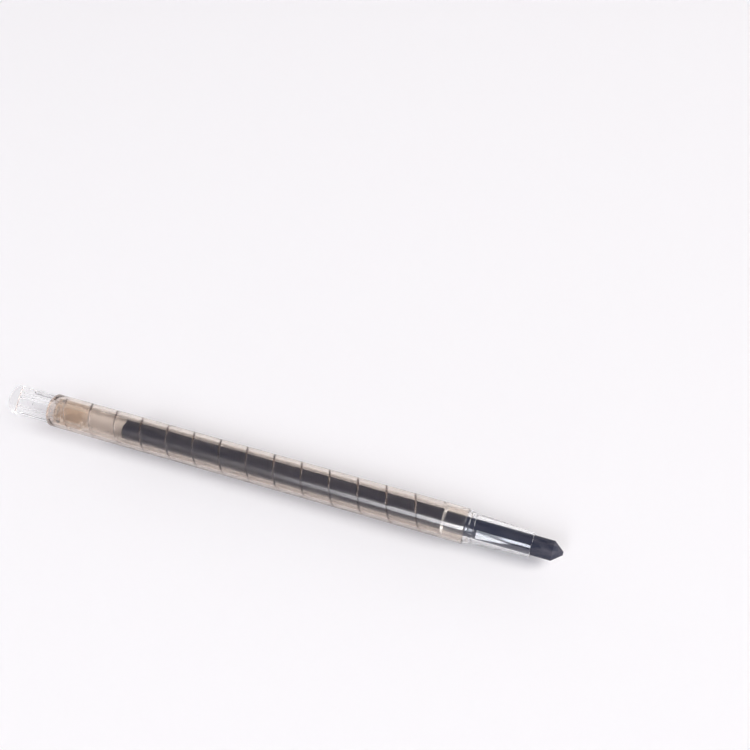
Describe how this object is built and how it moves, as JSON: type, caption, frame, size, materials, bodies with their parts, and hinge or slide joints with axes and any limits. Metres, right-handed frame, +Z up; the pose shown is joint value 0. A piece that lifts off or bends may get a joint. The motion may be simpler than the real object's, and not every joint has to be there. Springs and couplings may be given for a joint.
{
  "type": "twist crayon",
  "caption": "Slim see-through twist crayon: turning the rear knob screws a wax stick out of a faceted nose or draws it back.",
  "frame": {"origin": "on the surface that the crayon lies on, under the middle of its length and of its width", "axes": "+X along the barrel towards the crayon's point, +Z up, the barrel lying on its side"},
  "size_m": [0.1504, 0.0088, 0.0088],
  "materials": {
    "smoke_plastic": "glossy, see-through, smoke tint",
    "clear_plastic": "glossy, see-through, colourless",
    "black_wax": "waxy satin",
    "black_plastic": "satin moulding"
  },
  "bodies": {
    "barrel_body": {"barrel": "smoke_plastic", "nose_cone": "clear_plastic"},
    "twist_body": {"twist_knob": "clear_plastic", "drive_tube": "clear_plastic"},
    "crayon_body": {"crayon_carrier": "black_plastic", "crayon_stick": "black_wax"}
  },
  "joints": [
    {"name": "twist", "type": "hinge", "parent": "barrel_body", "child": "twist_body", "pos_m": [0, 0, 0.0044], "axis": [1, 0, 0], "range_deg": [-468.5, 3888.5]},
    {"name": "advance", "type": "slide", "parent": "twist_body", "child": "crayon_body", "axis": [1, 0, 0], "range_m": [-0.00975, 0.081]}
  ],
  "couplings": [
    {"joint": "twist", "follows": "advance", "rad_per_m": 837.76}
  ]
}
